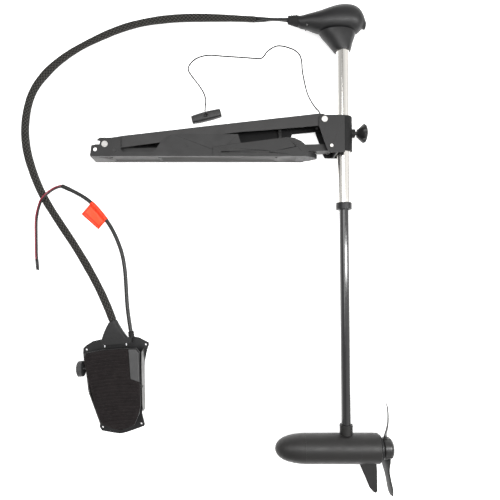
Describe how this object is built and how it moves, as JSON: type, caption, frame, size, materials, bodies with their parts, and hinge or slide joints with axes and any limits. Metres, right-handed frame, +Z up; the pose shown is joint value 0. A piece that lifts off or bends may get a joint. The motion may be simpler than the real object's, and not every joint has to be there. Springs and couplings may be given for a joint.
{
  "type": "trolling motor",
  "caption": "Foot-controlled bow-mount trolling motor laid flat: cable-steer head, column, lower unit, fold-away lift mount and pedal with its cables.",
  "frame": {"origin": "bottom centre of the box round the object without its cords, laid flat on its side", "axes": "+Z up from the surface it lies on; +Y along the column from lower unit to head; the mount and pedal are on the -X side and the propeller points to +X"},
  "size_m": [1.2258, 1.5852, 0.092],
  "materials": {
    "black_plastic": "matte moulded",
    "black_paint": "satin black paint",
    "pod_paint": "satin black paint",
    "tube_metal": "polished",
    "shaft_composite": "gloss black composite",
    "steel": "zinc plated",
    "rubber": "ribbed matte",
    "sleeve_weave": "woven sleeve",
    "cable_jacket": "satin",
    "red_insulation": "satin",
    "black_insulation": "satin",
    "orange_tag": "gloss film",
    "grey_pad": "matte",
    "prop_plastic": "satin",
    "copper": "metal",
    "iron": "matte",
    "rope": "braided"
  },
  "bodies": {
    "root": {"outer_tube": "tube_metal", "tube_collar": "black_plastic", "upper_bush": "black_plastic", "head_lower_housing": "black_plastic", "head_top_cover": "black_plastic", "head_neck": "rubber", "head_screws": "steel", "main_sheath": "sleeve_weave", "steering_cable_a": "cable_jacket", "steering_cable_b": "cable_jacket", "power_cable": "cable_jacket", "red_wire": "red_insulation", "black_wire": "black_insulation", "wire_terminals": "steel", "cable_tag": "orange_tag", "pedal_base": "black_plastic", "pedal_side_plates": "black_paint", "pedal_pivot_pin": "steel", "pedal_boot": "rubber", "pedal_grommet": "rubber"},
    "lower_unit": {"steering_shaft": "shaft_composite", "steering_drum": "black_plastic", "nose_cone": "pod_paint", "motor_housing": "pod_paint", "rear_housing": "pod_paint", "magnets": "iron", "front_bearing": "steel", "rear_bearing": "steel", "shaft_seal": "rubber", "brush_plate": "black_plastic", "through_bolts": "steel"},
    "rotor": {"motor_shaft": "steel", "armature": "iron", "commutator": "copper", "propeller": "prop_plastic", "prop_spacer": "black_plastic", "prop_fasteners": "steel"},
    "bracket": {"column_bracket": "black_paint", "bracket_pins": "steel"},
    "knob": {"tension_knob": "black_plastic"},
    "outer_arm": {"outer_arm": "black_paint", "arm_screws": "steel", "rope_grommet": "rubber", "pull_rope": "rope", "pull_handle": "black_plastic"},
    "latch": {"latch_lever": "steel"},
    "inner_arm": {"inner_arm": "black_paint"},
    "mount_base": {"mount_base": "black_paint", "near_cover": "black_plastic", "far_cover": "black_plastic", "cover_rivets": "black_paint", "nose_cap": "black_plastic", "base_pins": "steel"},
    "treadle": {"treadle": "black_plastic", "tread_pad": "rubber", "cable_quadrant": "black_plastic", "switch_tray": "black_plastic", "switch_spring": "steel"},
    "switch_pad": {"switch_pad": "grey_pad"},
    "speed_dial": {"speed_dial": "black_plastic"}
  },
  "joints": [
    {"name": "depth_slide", "type": "slide", "parent": "root", "child": "bracket", "axis": [0, 1, 0], "range_m": [-0.1, 0.045]},
    {"name": "arm_fold", "type": "hinge", "parent": "bracket", "child": "outer_arm", "pos_m": [0.29028, 0.39492, 0.046], "axis": [0, 0, 1], "range_deg": [0, 28]},
    {"name": "base_fold", "type": "hinge", "parent": "outer_arm", "child": "mount_base", "pos_m": [-0.41272, 0.31392, 0.046], "axis": [0, 0, 1], "range_deg": [-75.7, 0]},
    {"name": "link_fold", "type": "hinge", "parent": "bracket", "child": "inner_arm", "pos_m": [0.31198, 0.30892, 0.046], "axis": [0, 0, 1], "range_deg": [0, 29.6]},
    {"name": "latch_swing", "type": "hinge", "parent": "outer_arm", "child": "latch", "pos_m": [0.15128, 0.37992, 0.017], "axis": [0, 0, 1], "range_deg": [-8, 0]},
    {"name": "knob_turn", "type": "hinge", "parent": "bracket", "child": "knob", "pos_m": [0.39128, 0.36052, 0.046], "axis": [1, 0, 0], "range_deg": [-360, 360]},
    {"name": "steer", "type": "hinge", "parent": "root", "child": "lower_unit", "pos_m": [0.35828, -0.02308, 0.046], "axis": [0, 1, 0], "range_deg": [-175, 175]},
    {"name": "prop_spin", "type": "hinge", "parent": "lower_unit", "child": "rotor", "pos_m": [0.48128, -0.65508, 0.046], "axis": [1, 0, 0], "continuous": true},
    {"name": "treadle_rock", "type": "hinge", "parent": "root", "child": "treadle", "pos_m": [-0.38072, -0.47008, 0.036], "axis": [0.9962, 0.0872, 0], "range_deg": [-12.1, 12.1]},
    {"name": "switch_press", "type": "slide", "parent": "treadle", "child": "switch_pad", "axis": [0, 0, -1], "range_m": [0, 0.0025], "stiffness_N_per_m": 600, "springref_m": -0.003, "deforming": ["switch_spring"]},
    {"name": "speed_turn", "type": "hinge", "parent": "root", "child": "speed_dial", "pos_m": [-0.49458, -0.40777, 0.032], "axis": [0.9962, 0.0872, 0], "range_deg": [0, 300]}
  ],
  "couplings": [
    {"joint": "base_fold", "follows": "arm_fold", "ratio": -2.7},
    {"joint": "link_fold", "follows": "arm_fold", "ratio": 1.052},
    {"joint": "treadle_rock", "follows": "steer", "ratio": 0.0685}
  ]
}
